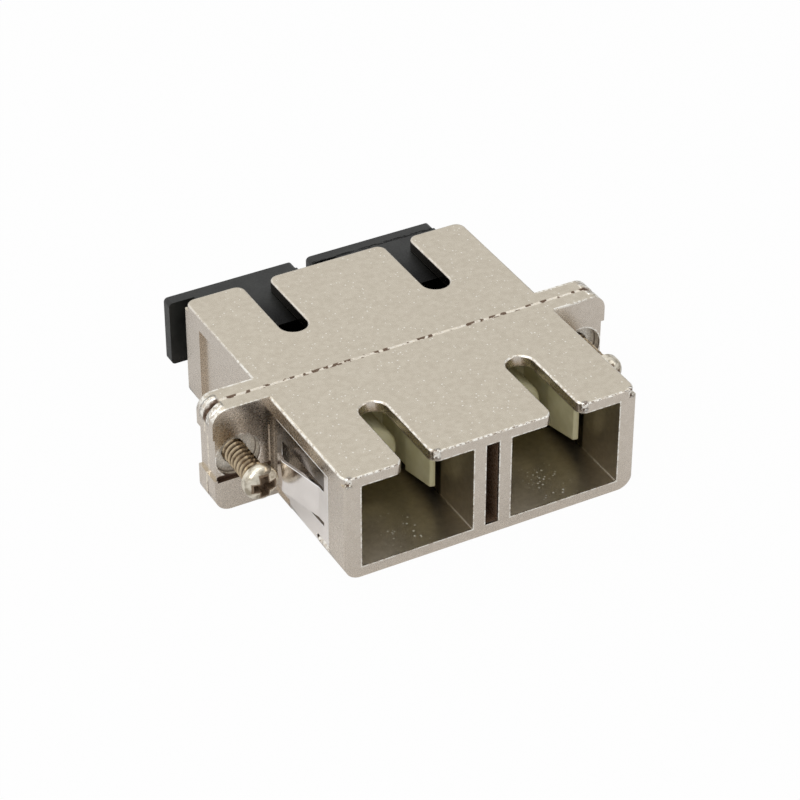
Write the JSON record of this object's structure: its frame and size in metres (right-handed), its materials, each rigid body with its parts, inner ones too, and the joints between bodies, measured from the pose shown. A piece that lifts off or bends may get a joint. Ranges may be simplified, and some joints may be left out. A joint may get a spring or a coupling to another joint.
{
  "type": "fibre optic adapter",
  "caption": "Duplex fibre optic adapter with a screw flange, sprung panel clip, latch inserts, alignment sleeves and plug-in dust caps.",
  "frame": {"origin": "middle of the flange seam, on the plane that holds both fibre axes", "axes": "X across the two ports, -Y out of the open front ports, +Y out of the capped rear ports, +Z towards the key slots"},
  "size_m": [0.0344, 0.0297, 0.0092],
  "materials": {
    "front_shell": "satin nickel over a die casting",
    "rear_shell": "satin nickel over a die casting",
    "clip": "smooth spring steel",
    "latch": "moulded cream plastic",
    "sleeve": "ground phosphor bronze",
    "screw": "nickel plated",
    "cap": "moulded black plastic"
  },
  "bodies": {
    "adapter": {"front_housing": "front_shell", "rear_housing": "rear_shell", "panel_clip": "clip", "front_left_latch": "latch", "front_right_latch": "latch", "rear_left_latch": "latch", "rear_right_latch": "latch", "left_sleeve": "sleeve", "right_sleeve": "sleeve"},
    "left_screw_body": {"left_screw": "screw"},
    "right_screw_body": {"right_screw": "screw"},
    "left_cap_body": {"left_dust_cap": "cap"},
    "right_cap_body": {"right_dust_cap": "cap"}
  },
  "joints": [
    {"name": "left_screw_slide", "type": "slide", "parent": "adapter", "child": "left_screw_body", "axis": [0, 1, 0], "range_m": [-0.0035, 0.0039]},
    {"name": "right_screw_slide", "type": "slide", "parent": "adapter", "child": "right_screw_body", "axis": [0, 1, 0], "range_m": [-0.0035, 0.0039]},
    {"name": "left_cap_slide", "type": "slide", "parent": "adapter", "child": "left_cap_body", "axis": [0, 1, 0], "range_m": [0, 0.009]},
    {"name": "right_cap_slide", "type": "slide", "parent": "adapter", "child": "right_cap_body", "axis": [0, 1, 0], "range_m": [0, 0.009]}
  ]
}
